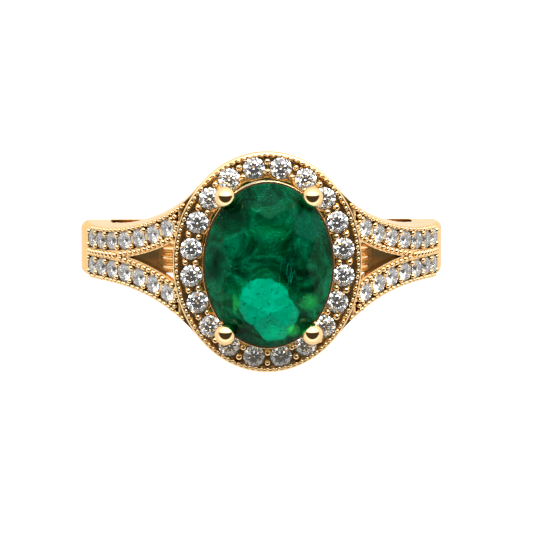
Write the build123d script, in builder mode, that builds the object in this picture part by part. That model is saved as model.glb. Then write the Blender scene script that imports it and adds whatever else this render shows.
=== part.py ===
"""Cocktail ring: an oval emerald in a halo of brilliants on a split, diamond-set shank.

Frame: the origin is the centre of the finger hole, +Y runs along the finger,
+Z goes up through the head and +X across the shoulders. All sizes are millimetres.
"""
from build123d import *
import os
from math import asin, cos, degrees, pi, radians, sin, sqrt, tan

os.makedirs("parts", exist_ok=True)

# Shank: a plain hoop below, shoulders that split into two arms on each side.
finger_r = 8.65  # US size 7
band_thickness = 1.70
outer_r = finger_r + band_thickness
shoulder_half_width = 1.48
base_half_width = 0.71
taper_top_z = -1.00  # below this the hoop narrows towards its base
taper_blend = 24.0
band_edge_fillet = 0.40
hoop_top_z = 2.40  # the plain hoop ends here and the set shoulders begin
rise_angle = 49.0  # from +Z, where the top of a shoulder leaves the hoop's circle
shoulder_top_z = 10.45
shoulder_top_blend = 2.0
under_angle = 56.0  # from +Z, where its underside leaves the finger hole
under_top_z = 9.20
tongue_x = 2.20  # the arms run in under the halo as far as this
tongue_y = 3.35
split_x = 7.70  # the crotch where the two arms part
gap_middle = (6.02, 0.62)
gap_end = (3.20, 3.03)

# Halo: a flat oval frame round the head.
halo_half = (5.23, 6.12)
halo_opening = (3.50, 4.54)
halo_bottom_z = 9.75
halo_floor_z = 10.55
halo_rim_z = 10.72
halo_row = (4.26, 5.30)
halo_count = 20
halo_stone_r = 0.60
halo_girdle_z = 10.62
halo_drill_r = 0.22
halo_outer_edge = 0.27  # widths of the raised edges either side of the stones
halo_inner_edge = 0.12

# Emerald, 9 x 7 mm, and the gallery that carries it.
emerald_half = (3.50, 4.50)
emerald_girdle_z = 12.35
emerald_girdle = 0.20
emerald_crown = 1.15
emerald_pavilion = 2.75
emerald_table = 0.58
rail_half = (3.63, 4.63)
rail_opening = (3.10, 4.10)
rail_z = (11.80, 12.25)
base_ring_half = (2.90, 3.90)
base_ring_opening = (2.30, 3.30)
bridge_outer_r = 9.40
bridge_half_width = 0.87
bridge_half_span = 7.20

# Four prongs: leaning wires with ball tips.
prong_foot = (1.66, 2.77, 9.50)
prong_tip = (2.385, 3.76, 12.82)
prong_wire_r = 0.40
prong_ball_r = 0.60

# Shoulder stones: seven to a row, a row on each arm.
row_count = 7
row_pitch = 1.196
row_first_x = 5.60
row_inset = 0.72  # from an arm's outer edge to the stones' centre line
row_stone_r = 0.525
row_girdle_sink = 0.10
row_drill_r = 0.15
row_drill_depth = 0.60
channel_depth = 0.12
channel_half_width = 0.53
channel_start_x = 4.90
channel_end_x = 10.30
channel_end_z = 2.90

# Cut of the small brilliants, as shares of the girdle radius.
melee_table = 0.57
melee_crown = 0.295
melee_pavilion = 0.86
melee_girdle = 0.06
keel_reach = 0.24  # how near the axis a lower half's tip comes


def save(builder, label):
    """Label a finished piece and write it."""
    builder.part.label = label
    export_step(builder.part, f"parts/{label}.step")


# The outer edge of an arm is one arc, level with the hoop's side at one end
# and tangent to the halo's outline at the other.
merge_angle = radians(43.0)
merge_x = halo_half[0] * cos(merge_angle)
merge_y = halo_half[1] * sin(merge_angle)
normal_x = cos(merge_angle) / halo_half[0]
normal_y = sin(merge_angle) / halo_half[1]
normal_length = sqrt(normal_x**2 + normal_y**2)
flare_r = (merge_y - shoulder_half_width) / (1 - normal_y / normal_length)
flare_x = merge_x + flare_r * normal_x / normal_length
flare_y = shoulder_half_width + flare_r
row_r = flare_r + row_inset  # the stones' centre line, about the same centre


def flare_at(x, radius):
    """Y of an arc about the flare's centre, running on straight past its lowest point."""
    return flare_y - sqrt(radius**2 - max(flare_x - x, 0) ** 2)


def cut_stone(half_x, half_y, girdle, crown, pavilion, table):
    """A brilliant: table, 8 stars, 8 mains and 16 halves over 8 mains and 16 halves."""
    step = pi / 8
    top, bottom = girdle / 2, -girdle / 2
    star = (table * cos(step) + 1) / 2  # reach of a star's tip
    star_z = top + crown * (1 - star * cos(step)) / (1 - table)
    lower_z = bottom - pavilion * (1 - keel_reach * cos(step))

    def at(reach, azimuth, height):
        return Vector(half_x * reach * cos(azimuth), half_y * reach * sin(azimuth), height)

    facets = []
    for k in range(8):
        main, left = 2 * k * step, (2 * k + 1) * step
        edge = 1 / cos(step)
        culet = Vector(0, 0, bottom - pavilion)
        facets.append((at(1, main, top), at(edge, left, top), at(table, main, top + crown)))
        facets.append((at(1, main, bottom), at(edge, left, bottom), culet))
        tip = at(star, left, star_z)
        keel = at(keel_reach, left, lower_z)
        facets.append((at(table, main, top + crown), at(table, main + 2 * step, top + crown), tip))
        for corner in (main, main + 2 * step):
            facets.append((at(1, corner, top), at(1, left, top), tip))
            facets.append((at(1, corner, bottom), at(1, left, bottom), keel))

    with BuildPart() as stone:
        with BuildSketch(Plane.XY.offset(bottom - pavilion)):
            if half_x == half_y:
                Circle(half_x)
            else:
                Ellipse(half_x, half_y)
        extrude(amount=pavilion + girdle + crown)
        for a, b, c in facets:
            normal = (b - a).cross(c - a)
            outward = normal if normal.dot(a) > 0 else -normal
            split(bisect_by=Plane(a, z_dir=outward), keep=Keep.BOTTOM)
    return stone.part


def seat_cutter(stone_r, drill_r, drill_depth):
    """The seat a setter cuts for a small brilliant: a drilled hole, a cone and a bright wall."""
    lip = -stone_r * melee_girdle / 2
    cone_r = stone_r * keel_reach
    cone_z = lip - stone_r * melee_pavilion * (1 - keel_reach * cos(pi / 8))
    wall_top = 0.40
    with BuildPart() as cutter:
        with BuildSketch(Plane.XZ):
            Polygon(
                (0, cone_z), (cone_r, cone_z), (stone_r, lip), (stone_r, wall_top), (0, wall_top),
                align=None,
            )
        revolve(axis=Axis.Z)
        with BuildSketch(Plane.XY):
            Circle(drill_r)
        extrude(amount=-drill_depth)
    return cutter.part


def melee(stone_r):
    """A small round brilliant of the given radius."""
    return cut_stone(
        stone_r, stone_r, stone_r * melee_girdle, stone_r * melee_crown,
        stone_r * melee_pavilion, melee_table,
    )


def shoulder_profile(top_r, top_z):
    """The front view of both set shoulders, with their top face on the circle top_r."""
    rise, under = radians(rise_angle), radians(under_angle)
    leave_top = (top_r * sin(rise), top_r * cos(rise))
    leave_under = (finger_r * sin(under), finger_r * cos(under))
    corner_x = leave_top[0] - (top_z - leave_top[1]) / tan(rise)
    under_x = leave_under[0] - (under_top_z - leave_under[1]) / tan(under)
    top_seam = degrees(asin(hoop_top_z / top_r))
    under_seam = degrees(asin(hoop_top_z / finger_r))
    with BuildSketch(Plane.XZ) as profile:
        with BuildLine():
            Polyline(leave_under, (under_x, under_top_z), (tongue_x, under_top_z), (tongue_x, top_z))
            Polyline((tongue_x, top_z), (corner_x, top_z), leave_top)
            out = CenterArc((0, 0), top_r, top_seam, 90 - rise_angle - top_seam)
            inner = CenterArc((0, 0), finger_r, under_seam, 90 - under_angle - under_seam)
            Line(out @ 0, inner @ 0)
        make_face()
        corner = profile.vertices().sort_by_distance((corner_x, top_z))[0]
        fillet(corner, shoulder_top_blend)
        mirror(about=Plane.YZ)
    return profile.sketch


def edge_on_outer_side(edge):
    """True for the hoop's outer corners, which run along its two sides."""
    ends = [edge @ 0, edge @ 0.5, edge @ 1]
    on_outer = all(abs(Vector(end.X, 0, end.Z).length - outer_r) < 0.001 for end in ends)
    return on_outer and all(abs(end.Y) > base_half_width / 2 for end in ends)


def edge_fade():
    """What the hoop's rounded corner takes off one shoulder edge as it runs out above the seam."""
    seam_angle = asin(hoop_top_z / outer_r)
    up_the_edge = Plane(
        (outer_r * cos(seam_angle), shoulder_half_width, hoop_top_z),
        x_dir=(cos(seam_angle), 0, sin(seam_angle)), z_dir=(-sin(seam_angle), 0, cos(seam_angle)),
    )
    spare = 0.2  # past the metal on both sides
    seam_step = 0.01
    middle = seam_step - band_edge_fillet
    with BuildPart() as fade:
        with BuildSketch(up_the_edge):
            with Locations((spare, spare)):
                Rectangle(spare - middle, spare - middle, align=(Align.MAX, Align.MAX))
            with Locations((middle, middle)):
                Circle(band_edge_fillet, mode=Mode.SUBTRACT)
        extrude(amount=sqrt(2 * outer_r * band_edge_fillet))
    return fade.part


def stone_row():
    """Place, along one arm in the +X +Y corner, of each stone and of its upright axis."""
    rise = radians(rise_angle)
    line_end = outer_r * sin(rise)
    line_length = (line_end - row_first_x) / cos(rise)
    places = []
    for k in range(row_count):
        run = k * row_pitch
        if run < line_length:
            lean = rise
            x = row_first_x + run * cos(rise)
            z = outer_r * cos(rise) + (line_length - run) * sin(rise)
        else:
            lean = rise + (run - line_length) / outer_r
            x, z = outer_r * sin(lean), outer_r * cos(lean)
        x -= row_girdle_sink * sin(lean)
        z -= row_girdle_sink * cos(lean)
        places.append((x, flare_at(x, row_r), z, lean))
    return places


# ---- shank: hoop and split shoulders, cast in one ----
with BuildPart() as shoulders:
    extrude(shoulder_profile(outer_r, shoulder_top_z), amount=halo_half[1], both=True)
    with BuildSketch(Plane.XY) as arms_from_above:
        with BuildLine():
            flare_middle = (flare_x + merge_x) / 2
            ThreePointArc(
                (flare_x, shoulder_half_width), (flare_middle, flare_at(flare_middle, flare_r)),
                (merge_x, merge_y),
            )
            Polyline((merge_x, merge_y), (tongue_x, tongue_y), gap_end)
            ThreePointArc(gap_end, gap_middle, (split_x, 0))
            Polyline(
                (split_x, 0), (outer_r + 1, 0), (outer_r + 1, shoulder_half_width),
                (flare_x, shoulder_half_width),
            )
        make_face()
        mirror(about=Plane.XZ)
        mirror(about=Plane.YZ)
    extrude(amount=outer_r + 2, mode=Mode.INTERSECT)

with BuildPart() as hoop:
    with BuildSketch(Plane.XZ):
        Circle(outer_r)
        Circle(finger_r, mode=Mode.SUBTRACT)
        with Locations((0, hoop_top_z + 1)):
            Rectangle(
                2 * outer_r + 2, 2 * outer_r + 2, align=(Align.CENTER, Align.MIN), mode=Mode.SUBTRACT
            )
    extrude(amount=shoulder_half_width + 1, both=True)
    taper = (shoulder_half_width - base_half_width) / (taper_top_z + outer_r)
    with BuildSketch(Plane.YZ) as side_view:
        with BuildLine():
            Polyline(
                (0, hoop_top_z + 1), (shoulder_half_width, hoop_top_z + 1),
                (shoulder_half_width, taper_top_z), (base_half_width - taper, -outer_r - 1),
                (0, -outer_r - 1), close=True,
            )
        make_face()
        bend = side_view.vertices().sort_by_distance((shoulder_half_width, taper_top_z))[0]
        fillet(bend, taper_blend)
        mirror(about=Plane.YZ)
    extrude(amount=outer_r + 1, both=True, mode=Mode.INTERSECT)
    rim_edges = [edge for edge in hoop.edges() if edge_on_outer_side(edge)]
    fillet(rim_edges, band_edge_fillet)
    split(bisect_by=Plane.XY.offset(hoop_top_z), keep=Keep.BOTTOM)

with BuildPart() as edge_fades:
    add(edge_fade())
    mirror(about=Plane.XZ)
    mirror(about=Plane.YZ)

with BuildPart() as head_space:  # what the halo frame and the gallery's base ring fill
    with BuildSketch(Plane.XY.offset(halo_bottom_z)):
        Ellipse(*halo_half)
    extrude(amount=halo_rim_z - halo_bottom_z)
    with BuildSketch(Plane.XY.offset(halo_bottom_z)):
        Ellipse(*base_ring_half)
    extrude(amount=finger_r - halo_bottom_z)

with BuildPart() as channels:
    with BuildSketch(Plane.XY.offset(channel_end_z)):
        with Locations((flare_x, flare_y)):
            Circle(row_r + channel_half_width)
            Circle(row_r - channel_half_width, mode=Mode.SUBTRACT)
        with Locations((channel_start_x, 0)):
            Rectangle(flare_x - channel_start_x, flare_y, align=(Align.MIN, Align.MIN), mode=Mode.INTERSECT)
        with Locations((flare_x, flare_y - row_r)):
            Rectangle(channel_end_x - flare_x, 2 * channel_half_width, align=(Align.MIN, Align.CENTER))
        mirror(about=Plane.XZ)
        mirror(about=Plane.YZ)
    extrude(amount=outer_r)
    core = shoulder_profile(outer_r - channel_depth, shoulder_top_z - channel_depth)
    extrude(core, amount=halo_half[1], both=True, mode=Mode.SUBTRACT)

row_seat = seat_cutter(row_stone_r, row_drill_r, row_drill_depth)
row_stone = melee(row_stone_r)
row_planes = {}
for end, side_x in (("left", -1), ("right", 1)):
    for edge_name, side_y in (("front", -1), ("back", 1)):
        for number, (x, y, z, lean) in enumerate(stone_row(), start=1):
            row_planes[f"{end}_{edge_name}_shoulder_diamond_{number}"] = Plane(
                (side_x * x, side_y * y, z), x_dir=(0, 1, 0), z_dir=(side_x * sin(lean), 0, cos(lean))
            )

with BuildPart() as shank:
    add(shoulders.part)
    add(edge_fades.part, mode=Mode.SUBTRACT)
    add(head_space.part, mode=Mode.SUBTRACT)
    add(channels.part, mode=Mode.SUBTRACT)
    with Locations(*[plane.location for plane in row_planes.values()]):
        add(row_seat, mode=Mode.SUBTRACT)
    add(hoop.part, clean=False)  # the seam is kept: hoop and shoulders share curved faces
save(shank, "shank")

for label, plane in row_planes.items():
    with BuildPart() as shoulder_diamond:
        with Locations(plane.location):
            add(row_stone)
    save(shoulder_diamond, label)

# ---- bridge: the finger rail that closes the hoop under the head ----
with BuildPart() as bridge:
    with BuildSketch(Plane.XZ):
        Circle(bridge_outer_r)
        Circle(finger_r, mode=Mode.SUBTRACT)
        with Locations((0, outer_r)):
            Rectangle(2 * bridge_half_span, 2 * outer_r, mode=Mode.INTERSECT)
    extrude(amount=bridge_half_width, both=True)
    add(shank.part, mode=Mode.SUBTRACT)
save(bridge, "finger_bridge")

# ---- halo frame: a plate with a raised edge, drilled and seated for its stones ----
halo_path = Edge.make_ellipse(halo_row[0], halo_row[1])
halo_places = [halo_path @ ((k + 0.5) / halo_count) for k in range(halo_count)]
halo_seat = seat_cutter(halo_stone_r, halo_drill_r, halo_rim_z - halo_bottom_z)
halo_stone = melee(halo_stone_r)

with BuildPart() as halo_frame:
    with BuildSketch(Plane.XY.offset(halo_bottom_z)):
        Ellipse(*halo_half)
        Ellipse(*halo_opening, mode=Mode.SUBTRACT)
    extrude(amount=halo_rim_z - halo_bottom_z)
    with BuildSketch(Plane.XY.offset(halo_floor_z)):
        Ellipse(halo_half[0] - halo_outer_edge, halo_half[1] - halo_outer_edge)
        Ellipse(
            halo_opening[0] + halo_inner_edge, halo_opening[1] + halo_inner_edge, mode=Mode.SUBTRACT
        )
    extrude(amount=halo_rim_z - halo_floor_z, mode=Mode.SUBTRACT)
    with Locations(*[(place.X, place.Y, halo_girdle_z) for place in halo_places]):
        add(halo_seat, mode=Mode.SUBTRACT)
save(halo_frame, "halo_frame")

for number, place in enumerate(halo_places, start=1):
    with BuildPart() as halo_diamond:
        with Locations(Location((place.X, place.Y, halo_girdle_z), (0, 0, 360 * number / halo_count))):
            add(halo_stone)
    save(halo_diamond, f"halo_diamond_{number}")

# ---- emerald ----
with BuildPart() as emerald:
    with Locations((0, 0, emerald_girdle_z)):
        add(cut_stone(*emerald_half, emerald_girdle, emerald_crown, emerald_pavilion, emerald_table))
save(emerald, "emerald")

# ---- gallery: the rail under the emerald's girdle and the ring on the bridge ----
with BuildPart() as gallery_rail:
    with BuildSketch(Plane.XY.offset(rail_z[0])):
        Ellipse(*rail_half)
        Ellipse(*rail_opening, mode=Mode.SUBTRACT)
    extrude(amount=rail_z[1] - rail_z[0])
    add(emerald.part, mode=Mode.SUBTRACT)
save(gallery_rail, "gallery_rail")

# ---- four prongs, notched for the emerald and the gallery rail ----
prong_parts = []
for name, side_x, side_y in (
    ("front_left", -1, -1), ("front_right", 1, -1), ("back_left", -1, 1), ("back_right", 1, 1),
):
    foot = Vector(side_x * prong_foot[0], side_y * prong_foot[1], prong_foot[2])
    tip = Vector(side_x * prong_tip[0], side_y * prong_tip[1], prong_tip[2])
    with BuildPart() as prong:
        with BuildSketch(Plane(foot, z_dir=tip - foot)):
            Circle(prong_wire_r)
        extrude(amount=(tip - foot).length)
        with Locations(tip):
            Sphere(prong_ball_r)
        add(emerald.part, mode=Mode.SUBTRACT)
        add(gallery_rail.part, mode=Mode.SUBTRACT)
    save(prong, f"prong_{name}")
    prong_parts.append(prong.part)

with BuildPart() as base_ring:
    with BuildSketch(Plane.XY.offset(finger_r)):
        Ellipse(*base_ring_half)
        Ellipse(*base_ring_opening, mode=Mode.SUBTRACT)
    extrude(amount=halo_bottom_z - finger_r)
    with BuildSketch(Plane.XZ):
        Circle(bridge_outer_r)
    extrude(amount=halo_half[1], both=True, mode=Mode.SUBTRACT)
    for prong_part in prong_parts:
        add(prong_part, mode=Mode.SUBTRACT)
save(base_ring, "gallery_base_ring")
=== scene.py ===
"""Cocktail ring: an oval emerald in a halo of brilliants on a split, diamond-set shank.

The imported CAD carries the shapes. This scene adds the setter's work (grains, milgrain), a halo
frame with softened edges, a ribbed finger bridge, the metal and stone materials, the studio and
the camera. Sizes are in millimetres, times MM, in the CAD's own frame.
"""

from math import asin, cos, pi, radians, sin, sqrt, tan
from random import Random

import bpy
import bmesh
from mathutils import Matrix, Vector


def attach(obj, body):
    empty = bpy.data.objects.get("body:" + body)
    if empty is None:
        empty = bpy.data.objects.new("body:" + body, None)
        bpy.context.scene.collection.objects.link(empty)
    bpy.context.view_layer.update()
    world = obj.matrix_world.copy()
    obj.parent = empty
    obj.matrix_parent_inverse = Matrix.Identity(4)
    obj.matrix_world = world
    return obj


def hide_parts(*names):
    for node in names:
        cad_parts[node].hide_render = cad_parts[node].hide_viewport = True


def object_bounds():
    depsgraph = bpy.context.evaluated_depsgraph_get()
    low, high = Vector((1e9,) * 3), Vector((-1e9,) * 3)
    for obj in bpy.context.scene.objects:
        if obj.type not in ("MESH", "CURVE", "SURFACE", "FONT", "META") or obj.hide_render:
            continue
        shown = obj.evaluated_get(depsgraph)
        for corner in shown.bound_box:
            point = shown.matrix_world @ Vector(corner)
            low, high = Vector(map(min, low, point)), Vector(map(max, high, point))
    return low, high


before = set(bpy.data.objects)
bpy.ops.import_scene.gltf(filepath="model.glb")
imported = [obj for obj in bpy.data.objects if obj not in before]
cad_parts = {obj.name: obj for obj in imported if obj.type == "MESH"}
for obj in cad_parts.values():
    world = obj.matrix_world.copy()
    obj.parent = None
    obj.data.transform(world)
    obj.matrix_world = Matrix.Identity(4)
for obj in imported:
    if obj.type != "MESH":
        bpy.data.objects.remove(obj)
cad_low, cad_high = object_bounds()

MM = 0.001
hand = Random(7)  # the small differences of hand work

# ---- driving dimensions, mm, as in the CAD ----
outer_r = 10.35
shoulder_half_width = 1.48
rise_angle = radians(49.0)
shoulder_top_z = 10.45
shoulder_top_blend = 2.0
gap_points = ((7.70, 0.0), (6.02, 0.62), (3.20, 3.03))
halo_half = (5.23, 6.12)
halo_opening = (3.50, 4.54)
halo_bottom_z = 9.75
halo_floor_z = 10.55
halo_row = (4.26, 5.30)
halo_count = 20
halo_stone_r = 0.60
halo_girdle_z = 10.62
halo_drill_r = 0.22
finger_r = 8.65
bridge_outer_r = 9.40
bridge_half_width = 0.87
bridge_reach = radians(61.5)  # out to the crotches of the two gaps
row_count = 7
row_pitch = 1.196
row_first_x = 5.60
row_inset = 0.72
channel_depth = 0.12
melee_pavilion = 0.86  # depth, girdle and keel of a small stone, as shares of its radius
melee_girdle = 0.06
keel_reach = 0.24

# ---- outer edge of a shoulder: an arc off the band that meets the halo's oval tangentially ----
merge_angle = radians(43.0)
merge_x = halo_half[0] * cos(merge_angle)
merge_y = halo_half[1] * sin(merge_angle)
normal_x = cos(merge_angle) / halo_half[0]
normal_y = sin(merge_angle) / halo_half[1]
normal_length = sqrt(normal_x**2 + normal_y**2)
flare_r = (merge_y - shoulder_half_width) / (1 - normal_y / normal_length)
flare_x = merge_x + flare_r * normal_x / normal_length
flare_y = shoulder_half_width + flare_r


# ---- materials ----
def new_material(name):
    """An empty node material with its Principled shader."""
    material = bpy.data.materials.new(name)
    material.use_nodes = True
    tree = material.node_tree
    return material, tree.nodes, tree.links, tree.nodes["Principled BSDF"]


def add_node(nodes, kind, settings=None, **inputs):
    """A node of a kind with its settings and the values of its named sockets."""
    node = nodes.new(kind)
    for key, value in (settings or {}).items():
        setattr(node, key, value)
    for key, value in inputs.items():
        node.inputs[key.replace("_", " ")].default_value = value
    return node


def ramp(nodes, *stops):
    """A colour ramp with the given (place, colour) stops."""
    node = nodes.new("ShaderNodeValToRGB")
    elements = node.color_ramp.elements
    while len(elements) < len(stops):
        elements.new(0.5)
    for element, (place, colour) in zip(elements, stops):
        element.position = place
        element.color = (*colour, 1)
    return node


yellow_tones = ((1.0, 0.69, 0.35), (1.0, 0.76, 0.42))
# A paler copy of the gold tones: painted light that lifts the shaded bridge.
lifted_bridge_tones = ((0.98, 0.80, 0.55), (1.0, 0.86, 0.64))
# Dark brown used as painted shade in the gold's recesses and crevices.
painted_recess_shade = (0.20, 0.085, 0.014, 1)
recess_roughness = 0.34


def make_gold(name, roughness, wear, edge_radius, recess_reach, tones=yellow_tones):
    """Polished yellow gold: softened edges, painted shade that darkens the recesses to brown, and faint wheel
    marks.
    """
    material, nodes, links, shader = new_material(name)
    shader.inputs["Metallic"].default_value = 1.0
    shader.inputs["Specular Tint"].default_value = (0.95, 0.74, 0.47, 1)
    place = nodes.new("ShaderNodeTexCoord")
    recess = add_node(nodes, "ShaderNodeAmbientOcclusion", {"samples": 8}, Distance=recess_reach * MM)
    drift = add_node(nodes, "ShaderNodeTexNoise", Scale=260.0, Detail=3.0, Roughness=0.55)
    links.new(place.outputs["Object"], drift.inputs["Vector"])
    tone = ramp(nodes, (0.30, tones[0]), (0.70, tones[1]))
    links.new(drift.outputs["Fac"], tone.inputs["Fac"])
    # Painted shade: where ambient occlusion finds recesses, the base colour turns dark brown. The same mask
    # roughens them.
    depth = add_node(nodes, "ShaderNodeMapRange", {"interpolation_type": "SMOOTHSTEP"})
    depth.inputs["From Min"].default_value = 0.26
    depth.inputs["From Max"].default_value = 0.86
    links.new(recess.outputs["AO"], depth.inputs["Value"])
    mix = add_node(nodes, "ShaderNodeMix", {"data_type": "RGBA"})
    mix.inputs["A"].default_value = painted_recess_shade
    links.new(depth.outputs["Result"], mix.inputs["Factor"])
    links.new(tone.outputs["Color"], mix.inputs["B"])
    links.new(mix.outputs["Result"], shader.inputs["Base Color"])
    marks = add_node(nodes, "ShaderNodeTexNoise", Scale=2600.0, Detail=6.0, Roughness=0.65)
    links.new(place.outputs["Object"], marks.inputs["Vector"])
    polish = add_node(nodes, "ShaderNodeMapRange")
    polish.inputs["To Min"].default_value = roughness
    polish.inputs["To Max"].default_value = roughness + wear
    links.new(marks.outputs["Fac"], polish.inputs["Value"])
    unpolished = add_node(nodes, "ShaderNodeMapRange")
    unpolished.inputs["To Min"].default_value = recess_roughness
    unpolished.inputs["To Max"].default_value = 0.0
    links.new(depth.outputs["Result"], unpolished.inputs["Value"])
    rough = add_node(nodes, "ShaderNodeMath", {"operation": "ADD"})
    links.new(polish.outputs["Result"], rough.inputs[0])
    links.new(unpolished.outputs["Result"], rough.inputs[1])
    links.new(rough.outputs[0], shader.inputs["Roughness"])
    bump = add_node(nodes, "ShaderNodeBump", Strength=0.05, Distance=0.00002)
    links.new(marks.outputs["Fac"], bump.inputs["Height"])
    if edge_radius:
        edge = add_node(nodes, "ShaderNodeBevel", {"samples": 6}, Radius=edge_radius * MM)
        links.new(edge.outputs["Normal"], bump.inputs["Normal"])
    links.new(bump.outputs["Normal"], shader.inputs["Normal"])
    return material


def make_diamond(name, colour, glow):
    """Clear brilliant: high index, next to no colour, and a faint glow that lifts its dark facets."""
    material, nodes, links, shader = new_material(name)
    shader.inputs["Base Color"].default_value = (*colour, 1)
    shader.inputs["Transmission Weight"].default_value = 1.0
    shader.inputs["IOR"].default_value = 2.42
    shader.inputs["Roughness"].default_value = 0.0
    shader.inputs["Emission Color"].default_value = (0.86, 0.93, 1.0, 1)
    shader.inputs["Emission Strength"].default_value = glow
    return material


def make_emerald():
    """Emerald: deep green body with clouds, fractures and a paler veil in its front half, with painted shade
    and painted highlights laid on its colour.
    """
    material, nodes, links, shader = new_material("emerald_stone")
    shader.inputs["IOR"].default_value = 1.58
    shader.inputs["Roughness"].default_value = 0.02
    shader.inputs["Specular IOR Level"].default_value = 0.22
    shader.inputs["Specular Tint"].default_value = (0.0, 0.14, 0.06, 1)
    place = nodes.new("ShaderNodeTexCoord")

    def noise(scale, detail, rough, distortion=0.0, vector=place.outputs["Object"]):
        """A noise over the stone, or over another vector."""
        node = add_node(nodes, "ShaderNodeTexNoise", Scale=scale, Detail=detail, Roughness=rough)
        node.inputs["Distortion"].default_value = distortion
        links.new(vector, node.inputs["Vector"])
        return node

    def band(node, *stops):
        """A noise's value turned into grey by (place, grey) stops."""
        mask = ramp(nodes, *((at, (grey, grey, grey)) for at, grey in stops))
        links.new(node.outputs["Fac"], mask.inputs["Fac"])
        return mask.outputs["Color"]

    def overlap(first, second):
        """Where two masks meet."""
        node = add_node(nodes, "ShaderNodeMix", {"data_type": "RGBA", "blend_type": "MULTIPLY"}, Factor=1.0)
        links.new(first, node.inputs["A"])
        links.new(second, node.inputs["B"])
        return node.outputs["Result"]

    def blob(centre, reach, wobble, core=0.84):
        """1 inside a wobbly egg (mm), fading from its core to 0 outside. 3 in z is nearly all the depth."""
        bend = add_node(nodes, "ShaderNodeVectorMath", {"operation": "MULTIPLY_ADD"})
        links.new(crinkle.outputs["Color"], bend.inputs[0])
        bend.inputs[1].default_value = (wobble * MM, wobble * MM, 0)
        links.new(place.outputs["Object"], bend.inputs[2])
        spot = add_node(nodes, "ShaderNodeMapping", {"vector_type": "TEXTURE"})
        x, y, z = centre
        middle = wobble * MM * 0.5  # the noise's mean, so that the egg stays about its centre
        spot.inputs["Location"].default_value = (x * MM + middle, y * MM + middle, z * MM)
        spot.inputs["Scale"].default_value = [r * MM for r in reach]
        links.new(bend.outputs["Vector"], spot.inputs["Vector"])
        far = add_node(nodes, "ShaderNodeVectorMath", {"operation": "LENGTH"})
        links.new(spot.outputs["Vector"], far.inputs[0])
        mask = ramp(nodes, (core, (1, 1, 1)), (1.0, (0, 0, 0)))
        links.new(far.outputs["Value"], mask.inputs["Fac"])
        return mask.outputs["Color"]

    def blend(base, colour, share, kind="MIX"):
        """Lay a colour over another by a share."""
        node = add_node(nodes, "ShaderNodeMix", {"data_type": "RGBA", "blend_type": kind})
        node.inputs["B"].default_value = (*colour, 1)
        links.new(share, node.inputs["Factor"])
        links.new(base, node.inputs["A"])
        return node.outputs["Result"]

    cloud = noise(480.0, 7.0, 0.66, 1.4)
    crinkle = noise(900.0, 2.0, 0.5, 0.3)
    veins = band(noise(820.0, 6.0, 0.66, 3.4), (0.484, 0), (0.50, 1), (0.516, 0))
    patches = band(noise(560.0, 2.0, 0.5), (0.50, 0), (0.60, 1))
    specks = band(noise(5200.0, 3.0, 0.6), (0.34, 0.8), (0.40, 0))
    mottles = band(noise(2100.0, 4.0, 0.62, 0.8), (0.44, 0), (0.62, 1))
    tint = ramp(
        nodes,
        (0.38, (0.0, 0.030, 0.010)),
        (0.49, (0.0, 0.125, 0.040)),
        (0.60, (0.0, 0.34, 0.145)),
    )
    links.new(cloud.outputs["Fac"], tint.inputs["Fac"])
    colour = tint.outputs["Color"]

    # Painted shade: nearly black patches laid on the stone where it shows dark.
    painted_shade_windows = (
        ((1.30, -0.10, 12.9), (0.85, 1.75, 3.0)),
        ((-2.95, 0.10, 12.6), (0.80, 1.5, 3.0)),
        ((-1.6, -3.4, 12.6), (1.1, 0.9, 3.0)),
        ((0.1, 3.9, 12.6), (0.8, 0.8, 3.0)),
    )
    for centre, reach in painted_shade_windows:
        colour = blend(colour, (0.0, 0.016, 0.008), blob(centre, reach, wobble=1.1, core=0.15))
    # Painted light: a lighter green patch laid on the stone.
    painted_light_patch = blob((2.15, 2.30, 12.9), (0.75, 0.95, 3.0), wobble=0.9, core=0.8)
    colour = blend(colour, (0.0, 0.165, 0.080), painted_light_patch)

    both = add_node(nodes, "ShaderNodeMath", {"operation": "MAXIMUM"})
    upper_veil = blob((-0.26, -1.86, 12.6), (1.58, 1.46, 3.0), wobble=0.7, core=0.93)
    lower_veil = blob((0.36, -2.66, 12.6), (1.34, 1.55, 3.0), wobble=0.7, core=0.93)
    links.new(upper_veil, both.inputs[0])
    links.new(lower_veil, both.inputs[1])
    veil = both.outputs[0]
    colour = blend(colour, (0.0, 0.36, 0.180), veil)
    colour = blend(colour, (0.0, 0.47, 0.26), overlap(mottles, veil))
    # Painted highlight: a bright green flash near the stone's foot.
    painted_foot_highlight = blob((0.45, -3.75, 12.6), (0.95, 0.50, 3.0), wobble=0.8, core=0.2)
    colour = blend(colour, (0.0, 0.66, 0.30), painted_foot_highlight)

    # Painted highlights: bright green glints of light laid on the stone's colour.
    painted_green_glints = (
        ((-1.86, -2.00, 12.6), (0.22, 0.70, 3.0), 0.55),
        ((2.25, -1.95, 12.6), (0.60, 0.60, 3.0), 0.1),
        ((1.38, -3.62, 12.6), (0.46, 0.40, 3.0), 0.5),
    )
    for centre, reach, core in painted_green_glints:
        colour = blend(colour, (0.02, 0.86, 0.17), blob(centre, reach, wobble=0.5, core=core))
    colour = blend(colour, (0.0, 0.34, 0.18), overlap(veins, patches), "ADD")

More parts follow.
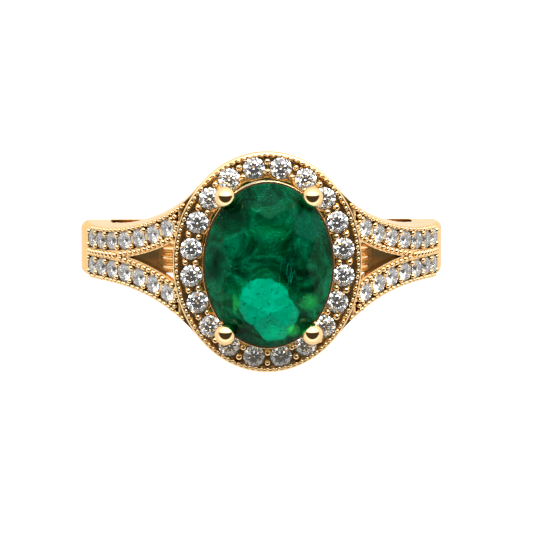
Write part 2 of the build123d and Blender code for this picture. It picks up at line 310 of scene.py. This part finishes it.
    slant = add_node(nodes, "ShaderNodeMapping")
    slant.inputs["Rotation"].default_value = (0, 0, radians(-24))
    slant.inputs["Scale"].default_value = (1.0, 0.22, 0.22)
    links.new(place.outputs["Object"], slant.inputs["Vector"])
    crack = noise(2400.0, 3.0, 0.5, 0.8, slant.outputs["Vector"])
    cracks = band(crack, (0.47, 0), (0.50, 1), (0.53, 0))
    cracked_zone = blob((1.05, -0.60, 12.9), (0.70, 1.25, 3.0), wobble=0.8, core=0.4)
    colour = blend(colour, (0.0, 0.36, 0.20), overlap(cracks, cracked_zone), "ADD")
    colour = blend(colour, (0.0, 0.10, 0.06), specks)
    links.new(colour, shader.inputs["Base Color"])
    clear = ramp(nodes, (0.0, (0.66, 0.66, 0.66)), (1.0, (0.20, 0.20, 0.20)))  # cloudier in the veil
    links.new(veil, clear.inputs["Fac"])
    links.new(clear.outputs["Color"], shader.inputs["Transmission Weight"])
    body = add_node(nodes, "ShaderNodeVolumeAbsorption", Color=(0.0, 0.70, 0.40, 1), Density=240.0)
    links.new(body.outputs["Volume"], nodes["Material Output"].inputs["Volume"])
    return material


gold = make_gold("yellow_gold", roughness=0.06, wear=0.08, edge_radius=0.07, recess_reach=0.26)
grain_gold = make_gold("grain_gold", roughness=0.06, wear=0.05, edge_radius=0, recess_reach=0.20)
prong_gold = make_gold("prong_gold", roughness=0.03, wear=0.03, edge_radius=0, recess_reach=0.05)
bridge_gold = make_gold(
    "bridge_gold", roughness=0.20, wear=0.05, edge_radius=0, recess_reach=0.03, tones=lifted_bridge_tones,
)
# The bridge sits deep in the gaps, in shade, and painted light lifts it: a faint glow and paler tones of the
# gold.
bridge_shader = bridge_gold.node_tree.nodes["Principled BSDF"]
bridge_shader.inputs["Emission Color"].default_value = (0.80, 0.50, 0.17, 1)
bridge_shader.inputs["Emission Strength"].default_value = 0.11
diamond = make_diamond("diamond_stone", (0.88, 0.93, 1.0), glow=0.012)
shoulder_diamond = make_diamond("shoulder_diamond_stone", (0.96, 0.99, 1.0), glow=0.035)
emerald_stone = make_emerald()

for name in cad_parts:
    for material_slot in bpy.data.objects[name].material_slots:
        if "diamond" in name:
            material_slot.material = shoulder_diamond if "shoulder" in name else diamond
        elif name == "emerald":
            material_slot.material = emerald_stone
        else:
            material_slot.material = prong_gold if "prong" in name else gold


# ---- surface of the shoulders ----
line_end = (outer_r * sin(rise_angle), outer_r * cos(rise_angle))
corner_x = line_end[0] - (shoulder_top_z - line_end[1]) / tan(rise_angle)
blend_x = corner_x - shoulder_top_blend * tan(rise_angle / 2)
blend_end_x = blend_x + shoulder_top_blend * sin(rise_angle)


def shoulder_top(x):
    """Height of a shoulder's top face at x > 0, and how far its normal leans from +Z."""
    if x > line_end[0]:
        return sqrt(outer_r**2 - x**2), asin(x / outer_r)
    if x > blend_end_x:
        return line_end[1] + (line_end[0] - x) * tan(rise_angle), rise_angle
    if x > blend_x:
        lean = asin((x - blend_x) / shoulder_top_blend)
        return shoulder_top_z - shoulder_top_blend * (1 - cos(lean)), lean
    return shoulder_top_z, 0.0


def flare_at(x, radius):
    """Y of an arc about the flare's centre, running on straight past its lowest point."""
    return flare_y - sqrt(radius**2 - max(flare_x - x, 0) ** 2)


def circle_through(a, b, c):
    """Centre and radius of the circle through three points of the plane."""
    (ax, ay), (bx, by), (cx, cy) = a, b, c
    d = 2 * (ax * (by - cy) + bx * (cy - ay) + cx * (ay - by))
    aa, bb, cc = ax**2 + ay**2, bx**2 + by**2, cx**2 + cy**2
    ux = (aa * (by - cy) + bb * (cy - ay) + cc * (ay - by)) / d
    uy = (aa * (cx - bx) + bb * (ax - cx) + cc * (bx - ax)) / d
    return ux, uy, sqrt((ax - ux) ** 2 + (ay - uy) ** 2)


gap_x, gap_y, gap_r = circle_through(*gap_points)


def gap_edge(x, inset):
    """Y of an arm's inner edge at x, moved into the metal by inset."""
    return gap_y - sqrt((gap_r - inset) ** 2 - (gap_x - x) ** 2)


# ---- small meshes ----
grain_profile = (
    (1.22, -0.45), (1.05, -0.16), (1.0, 0.14), (0.93, 0.46), (0.78, 0.73), (0.56, 0.90), (0.28, 0.98),
)
tip_rise = 1.02  # a turned solid's middle, against its highest ring
size_spread = 0.07  # beads raised by hand differ this much


def lathe(bm, profile, matrix, sides):
    """Add a closed turned solid: profile points (reach, height) from its foot to its top."""
    angles = [2 * pi * k / sides for k in range(sides)]
    rings = [
        [bm.verts.new(matrix @ Vector((reach * cos(angle), reach * sin(angle), height))) for angle in angles]
        for reach, height in profile
    ]
    foot = bm.verts.new(matrix @ Vector((0, 0, profile[0][1])))
    top = bm.verts.new(matrix @ Vector((0, 0, max(height for _, height in profile) * tip_rise)))
    for lower, upper in zip(rings, rings[1:]):
        for k in range(sides):
            n = (k + 1) % sides
            bm.faces.new((lower[k], lower[n], upper[n], upper[k]))
    for k in range(sides):
        n = (k + 1) % sides
        bm.faces.new((rings[-1][k], rings[-1][n], top))
        bm.faces.new((rings[0][n], rings[0][k], foot))


def grain(bm, point, along, normal, half_length, half_width, height, sides=14):
    """Raise one bead of gold on a surface point."""
    z_axis = Vector(normal).normalized()
    x_axis = (Vector(along) - Vector(along).dot(z_axis) * z_axis).normalized()
    y_axis = z_axis.cross(x_axis)
    size = 1 + hand.uniform(-size_spread, size_spread)
    axes = (x_axis * half_length * size, y_axis * half_width * size, z_axis * height)
    turn = Matrix(axes).transposed().to_4x4()
    place = Matrix.Translation(Vector(point) * MM)
    lathe(bm, grain_profile, place @ Matrix.Scale(MM, 4) @ turn, sides)


def skin(bm, loops, closed):
    """Join neighbouring closed loops of vertices with quads, the last to the first too if closed."""
    for first, second in zip(loops, loops[1:] + loops[:1] if closed else loops[1:]):
        for k in range(len(first)):
            n = (k + 1) % len(first)
            bm.faces.new((first[k], first[n], second[n], second[k]))


def finish_piece(name, bm, material, sharp=None):
    """Turn a bmesh into a piece that rides on the ring."""
    mesh = bpy.data.meshes.new(name)
    bmesh.ops.recalc_face_normals(bm, faces=bm.faces)
    bm.to_mesh(mesh)
    bm.free()
    mesh.polygons.foreach_set("use_smooth", [True] * len(mesh.polygons))
    if sharp:
        mesh.set_sharp_from_angle(angle=sharp)
    mesh.materials.append(material)
    piece = bpy.data.objects.new(name, mesh)
    bpy.context.scene.collection.objects.link(piece)
    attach(piece, "root")
    return piece


def walk(curve, start, end, pitch=None, count=None, shift=0.5, steps=2000):
    """Evenly spaced places along curve(t), with their directions."""
    samples = [Vector(curve(start + (end - start) * k / steps)) for k in range(steps + 1)]
    lengths = [0.0]
    for a, b in zip(samples, samples[1:]):
        lengths.append(lengths[-1] + (b - a).length)
    count = count or max(1, round(lengths[-1] / pitch))
    places, at = [], 0
    for k in range(count):
        target = lengths[-1] * (k + shift) / count
        while lengths[at + 1] < target:
            at += 1
        share = (target - lengths[at]) / (lengths[at + 1] - lengths[at])
        places.append((samples[at].lerp(samples[at + 1], share), samples[at + 1] - samples[at]))
    return places


def oval(half, grow=0.0, z=0.0):
    """An ellipse moved out by grow along its normal, as a curve of one angle."""
    def at(t):
        """The point at angle t."""
        normal = Vector((cos(t) / half[0], sin(t) / half[1], 0)).normalized()
        return (half[0] * cos(t) + grow * normal.x, half[1] * sin(t) + grow * normal.y, z)
    return at


# ---- halo frame: rounded outer lip, sunk floor, thin inner lip and the drilled seats ----
halo_sides = 240
soft_edge_angle = radians(50)
up = (0, 0, 1)
outer_lip = (  # distance in from the outer oval, and height
    (0.30, halo_bottom_z), (0.07, halo_bottom_z), (0.015, 9.79), (0.0, 9.86), (0.0, 10.54), (0.012, 10.61),
    (0.05, 10.67), (0.11, 10.70), (0.17, 10.69), (0.22, 10.66), (0.27, 10.61), (0.30, halo_floor_z),
)
inner_lip = (  # distance out from the opening, and height
    (0.05, halo_floor_z), (0.015, 10.535), (0.0, 10.50), (0.0, 9.83), (0.03, 9.77), (0.10, halo_bottom_z),
)
bm = bmesh.new()
section = [oval(halo_half, -inset, z) for inset, z in outer_lip]
section += [oval(halo_opening, grow, z) for grow, z in inner_lip]
angles = [2 * pi * k / halo_sides for k in range(halo_sides)]
loops = [[bm.verts.new(Vector(curve(angle)) * MM) for angle in angles] for curve in section]
skin(bm, loops, closed=True)
halo_piece = finish_piece("halo_frame_soft", bm, gold, soft_edge_angle)
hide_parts("halo_frame")

# A seat follows a stone's pavilion down to the drilled hole, and opens above its girdle.
seat_slack = 0.006
seat_top = 0.40
drill_past = 0.1
lip = -halo_stone_r * melee_girdle / 2
cone_bottom = lip - halo_stone_r * melee_pavilion * (1 - keel_reach * cos(pi / 8))
cone_share = (halo_stone_r - halo_drill_r) / (halo_stone_r * (1 - keel_reach))
seat_profile = (
    (halo_drill_r, halo_bottom_z - halo_girdle_z - drill_past),
    (halo_drill_r, lip - cone_share * (lip - cone_bottom)),
    (halo_stone_r + seat_slack, lip),
    (halo_stone_r + seat_slack, seat_top),
)
bm = bmesh.new()
for point, along in walk(oval(halo_row, 0, halo_girdle_z), 0, 2 * pi, count=halo_count):
    lathe(bm, seat_profile, Matrix.Translation(point * MM) @ Matrix.Scale(MM, 4), sides=40)
bmesh.ops.recalc_face_normals(bm, faces=bm.faces)
seat_mesh = bpy.data.meshes.new("seats")
bm.to_mesh(seat_mesh)
bm.free()
seats = bpy.data.objects.new("seats", seat_mesh)
bpy.context.scene.collection.objects.link(seats)
cut = halo_piece.modifiers.new("seats", "BOOLEAN")
cut.operation = "DIFFERENCE"
cut.solver = "EXACT"
cut.object = seats
bpy.context.view_layer.update()
cut_halo = halo_piece.evaluated_get(bpy.context.evaluated_depsgraph_get())
cut_mesh = bpy.data.meshes.new_from_object(cut_halo)
halo_piece.modifiers.clear()
halo_piece.data = cut_mesh
cut_mesh.set_sharp_from_angle(angle=soft_edge_angle)
bpy.data.objects.remove(seats)

# ---- halo: milgrain along the lip, a pair of grains between each two stones ----
# A bead is (half length, half width, height).
lip_bead = (0.135, 0.10, 0.12)
lip_bead_inset, lip_bead_z, lip_bead_pitch = 0.195, 10.675, 0.325
bm = bmesh.new()
lip_line = oval(halo_half, -lip_bead_inset, lip_bead_z)
for point, along in walk(lip_line, 0, 2 * pi, pitch=lip_bead_pitch):
    grain(bm, point, along, up, *lip_bead)
finish_piece("halo_milgrain", bm, grain_gold)

halo_grain = (0.205, 0.205, 0.28)
halo_grain_offset = 0.285
bm = bmesh.new()
for point, along in walk(oval(halo_row, 0, halo_floor_z), 0, 2 * pi, count=halo_count, shift=0.0):
    outward = Vector((along.y, -along.x, 0)).normalized()
    for side in (-halo_grain_offset, halo_grain_offset):
        grain(bm, point + outward * side, along, up, *halo_grain, sides=20)
finish_piece("halo_grains", bm, grain_gold)


# ---- shoulders: milgrain on both edges of each arm, a pair of grains between each two stones ----
def lean_normal(point):
    """The shoulder's normal above a point."""
    lean = shoulder_top(abs(point[0]))[1]
    return Vector((sin(lean) * (1 if point[0] > 0 else -1), 0, cos(lean)))


def over_shoulder(y_at, side_x, side_y):
    """A curve over a shoulder's top face with y given at each x."""
    return lambda x: (side_x * x, side_y * y_at(x), shoulder_top(x)[0])


def on_row(x, side_x, side_y):
    """A point of a stone row at x, the way the row runs, the face's normal and the way across."""
    place = over_shoulder(lambda at: flare_at(at, flare_r + row_inset), side_x, side_y)
    point = Vector(place(x))
    along = Vector(place(x + 0.01)) - point
    normal = lean_normal(point)
    return point, along, normal, normal.cross(along).normalized()


edge_start_x = 4.55
edge_end_x = 9.93
outer_edge_end_x = 9.78
rows_meet_x = 8.25  # the inner edges join in one middle row here
outer_edge_inset, outer_bead, outer_bead_pitch = 0.12, (0.165, 0.115, 0.13), 0.40
inner_edge_inset, inner_bead, inner_bead_pitch = 0.21, (0.18, 0.16, 0.17), 0.42
middle_bead = (0.185, 0.20, 0.17)
bm = bmesh.new()
for side_x in (-1, 1):
    for side_y in (-1, 1):
        outer_edge = over_shoulder(lambda x: flare_at(x, flare_r + outer_edge_inset), side_x, side_y)
        for point, along in walk(outer_edge, edge_start_x, outer_edge_end_x, pitch=outer_bead_pitch):
            grain(bm, point, along, lean_normal(point), *outer_bead)
        inner_edge = over_shoulder(lambda x: gap_edge(x, inner_edge_inset), side_x, side_y)
        for point, along in walk(inner_edge, edge_start_x, rows_meet_x, pitch=inner_bead_pitch):
            grain(bm, point, along, lean_normal(point), *inner_bead)
    centre_line = over_shoulder(lambda x: 0.0, side_x, 1)
    for point, along in walk(centre_line, rows_meet_x + 0.1, edge_end_x, pitch=inner_bead_pitch):
        grain(bm, point, along, lean_normal(point), *middle_bead)
finish_piece("shoulder_milgrain", bm, grain_gold)

row_grain = (0.18, 0.18, 0.26)
row_grain_offset = 0.375
row_start_x = 5.0
filler_bead = (0.14, 0.14, 0.15)
# Filler beads between the last stone and the halo: distance past the stone's centre, and across the arm.
filler_places = ((0.83, -0.20), (0.80, 0.12), (0.98, 0.40), (1.10, -0.05), (0.86, 0.66))
line_length = (line_end[0] - row_first_x) / cos(rise_angle)
bm = bmesh.new()
for side_x in (-1, 1):
    for side_y in (-1, 1):
        for k in range(row_count + 1):
            run = (k - 0.5) * row_pitch
            if run < line_length:
                x = row_first_x + run * cos(rise_angle)
            else:
                x = outer_r * sin(rise_angle + (run - line_length) / outer_r)
            if x < row_start_x:
                continue
            point, along, normal, across = on_row(x, side_x, side_y)
            for side in (-row_grain_offset, row_grain_offset):
                foot = point + across * side - normal * channel_depth
                grain(bm, foot, along, normal, *row_grain, sides=18)
        for back, side in filler_places:
            x = row_first_x - back * cos(rise_angle)
            point, along, normal, across = on_row(x, side_x, side_y)
            outward = across * side_x * side_y
            grain(bm, point + outward * side, along, normal, *filler_bead)
finish_piece("shoulder_grains", bm, grain_gold)

# ---- finger bridge: three rounded ribs over a smooth bore, lower near the crotches ----
rib_pitch = 0.58
rib_valley_r = 9.12
ribs_end_x, ribs_fade = 6.3, 0.5
bridge_low_r = 8.92
bridge_edge_inset = 0.03
bridge_sides, bridge_steps = 60, 96
bm = bmesh.new()
loops = []
for step_at in range(bridge_steps + 1):
    turn = bridge_reach * (2 * step_at / bridge_steps - 1)
    x = bridge_outer_r * sin(abs(turn))
    fade = min(1.0, max(0.0, (ribs_end_x - x) / ribs_fade))
    foot_y = bridge_half_width - bridge_edge_inset
    section = [(foot_y, finger_r), (-foot_y, finger_r)]
    for k in range(bridge_sides + 1):
        y = bridge_half_width * (2 * k / bridge_sides - 1)
        off_rib = 2 * abs((y / rib_pitch + 0.5) % 1 - 0.5)
        crest = rib_valley_r + (bridge_outer_r - rib_valley_r) * sqrt(1 - off_rib**2)
        section.append((y, bridge_low_r + (crest - bridge_low_r) * fade))
    loops.append([bm.verts.new(Vector((r * sin(turn), y, r * cos(turn))) * MM) for y, r in section])
skin(bm, loops, closed=False)
bm.faces.new(loops[0])
bm.faces.new(loops[-1])
bridge_piece = finish_piece("finger_bridge_ribbed", bm, bridge_gold, radians(60))
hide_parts("finger_bridge")

# ---- camera: nearly straight down on the head, far off ----
aim = Vector((-0.11, -0.07, 12.35)) * MM
camera_distance = 260.0
camera_yaw, camera_pitch = radians(-1.9), radians(5.2)
toward = Vector((sin(camera_yaw), sin(camera_pitch), 0))
toward.z = sqrt(1 - toward.length_squared)
right = Vector((0, 1, 0)).cross(toward).normalized()
camera_data = bpy.data.cameras.new("camera")
camera_data.lens = 320.0
camera_data.sensor_width = 36.0
camera_data.clip_start = 0.01
camera_data.clip_end = 10.0
camera = bpy.data.objects.new("camera", camera_data)
bpy.context.scene.collection.objects.link(camera)
facing = Matrix((right, toward.cross(right), toward)).transposed().to_4x4()
camera.matrix_world = Matrix.Translation(aim + toward * camera_distance * MM) @ facing
bpy.context.scene.camera = camera

# ---- floor, its size in metres: it glows far more to the camera than on the ring, so that it looks white ----
floor_glow_on_ring, floor_glow_seen = 0.18, 0.75
bm = bmesh.new()
bmesh.ops.create_grid(bm, x_segments=2, y_segments=2, size=1.5)
floor_mesh = bpy.data.meshes.new("floor")
bm.to_mesh(floor_mesh)
bm.free()
floor = bpy.data.objects.new("floor", floor_mesh)
floor.location.z = cad_low.z
bpy.context.scene.collection.objects.link(floor)
material, nodes, links, shader = new_material("white_floor")
shader.inputs["Base Color"].default_value = (0.72, 0.72, 0.72, 1)
shader.inputs["Roughness"].default_value = 0.9
shader.inputs["Emission Color"].default_value = (1, 1, 1, 1)
light_path = nodes.new("ShaderNodeLightPath")
glow = add_node(nodes, "ShaderNodeMapRange")
glow.inputs["To Min"].default_value = floor_glow_on_ring
glow.inputs["To Max"].default_value = floor_glow_seen
links.new(light_path.outputs["Is Camera Ray"], glow.inputs["Value"])
links.new(glow.outputs["Result"], shader.inputs["Emission Strength"])
floor_mesh.materials.append(material)

# ---- studio: a white tent with a dark gap overhead and a brighter back panel ----
tent_level, horizon_level, panel_level, gap_level = 1.36, 1.12, 1.9, 0.06
gap_half, gap_centre_y = (1.09, 1.08), 0.18
gap_tint = (1.0, 0.76, 0.50, 1)
world = bpy.data.worlds.new("studio")
bpy.context.scene.world = world
world.use_nodes = True
nodes, links = world.node_tree.nodes, world.node_tree.links
background = nodes["Background"]
place = nodes.new("ShaderNodeTexCoord")
split = nodes.new("ShaderNodeSeparateXYZ")
links.new(place.outputs["Generated"], split.inputs["Vector"])
sky_x, sky_y, sky_z = split.outputs


def arith(operation, first, second=0.0):
    """One arithmetic step on two sockets or numbers."""
    node = add_node(nodes, "ShaderNodeMath", {"operation": operation})
    for socket, value in zip(node.inputs, (first, second)):
        if isinstance(value, (int, float)):
            socket.default_value = value
        else:
            links.new(value, socket)
    return node.outputs[0]


def ease(socket, low, high):
    """0 below low, 1 above high, smooth between."""
    node = add_node(nodes, "ShaderNodeMapRange", {"interpolation_type": "SMOOTHSTEP"})
    node.inputs["From Min"].default_value = low
    node.inputs["From Max"].default_value = high
    links.new(socket, node.inputs["Value"])
    return node.outputs["Result"]


def one_minus(share):
    """The rest of a share."""
    return arith("SUBTRACT", 1.0, share)


def mix_to(base, level, share):
    """Move a level towards another by a share."""
    kept = arith("MULTIPLY", base, one_minus(share))
    return arith("ADD", kept, arith("MULTIPLY", share, level))


above = ease(sky_z, 0.02, 0.20)
gap_x_share = arith("DIVIDE", sky_x, gap_half[0])
gap_y_share = arith("DIVIDE", arith("SUBTRACT", sky_y, gap_centre_y), gap_half[1])
squares = arith("ADD", arith("POWER", gap_x_share, 2.0), arith("POWER", gap_y_share, 2.0))
in_gap = one_minus(ease(arith("SQRT", squares), 0.84, 0.95))
before_panel = arith("MULTIPLY", one_minus(ease(sky_y, 0.30, 0.37)), above)
dark_gap = arith("MULTIPLY", in_gap, before_panel)
behind = arith("MULTIPLY", ease(sky_y, 0.38, 0.46), above)
panel = arith("MULTIPLY", behind, one_minus(ease(arith("ABSOLUTE", sky_x), 0.60, 0.90)))
level = mix_to(tent_level, horizon_level, one_minus(ease(sky_z, 0.0, 0.35)))
level = mix_to(level, panel_level, panel)
level = mix_to(level, gap_level, dark_gap)
links.new(level, background.inputs["Strength"])
warm = add_node(nodes, "ShaderNodeMix", {"data_type": "RGBA"})
warm.inputs["A"].default_value = (1, 1, 1, 1)
warm.inputs["B"].default_value = gap_tint
links.new(dark_gap, warm.inputs["Factor"])
links.new(warm.outputs["Result"], background.inputs["Color"])

# A soft key light above the back edge of the ring, its size and place in metres.
key_data = bpy.data.lights.new("key_light", "AREA")
key_data.shape = "RECTANGLE"
key_data.size, key_data.size_y = 0.26, 0.16
key_data.energy = 1.0
key = bpy.data.objects.new("key_light", key_data)
key.location = (0.06, 0.26, 0.26)
key.rotation_mode = "QUATERNION"
key.rotation_quaternion = (aim - key.location).to_track_quat("-Z", "Y")
bpy.context.scene.collection.objects.link(key)

scene = bpy.context.scene
scene.view_settings.view_transform = "Standard"
scene.view_settings.look = "None"
scene.cycles.max_bounces = 24
scene.cycles.transmission_bounces = 20
scene.cycles.glossy_bounces = 5
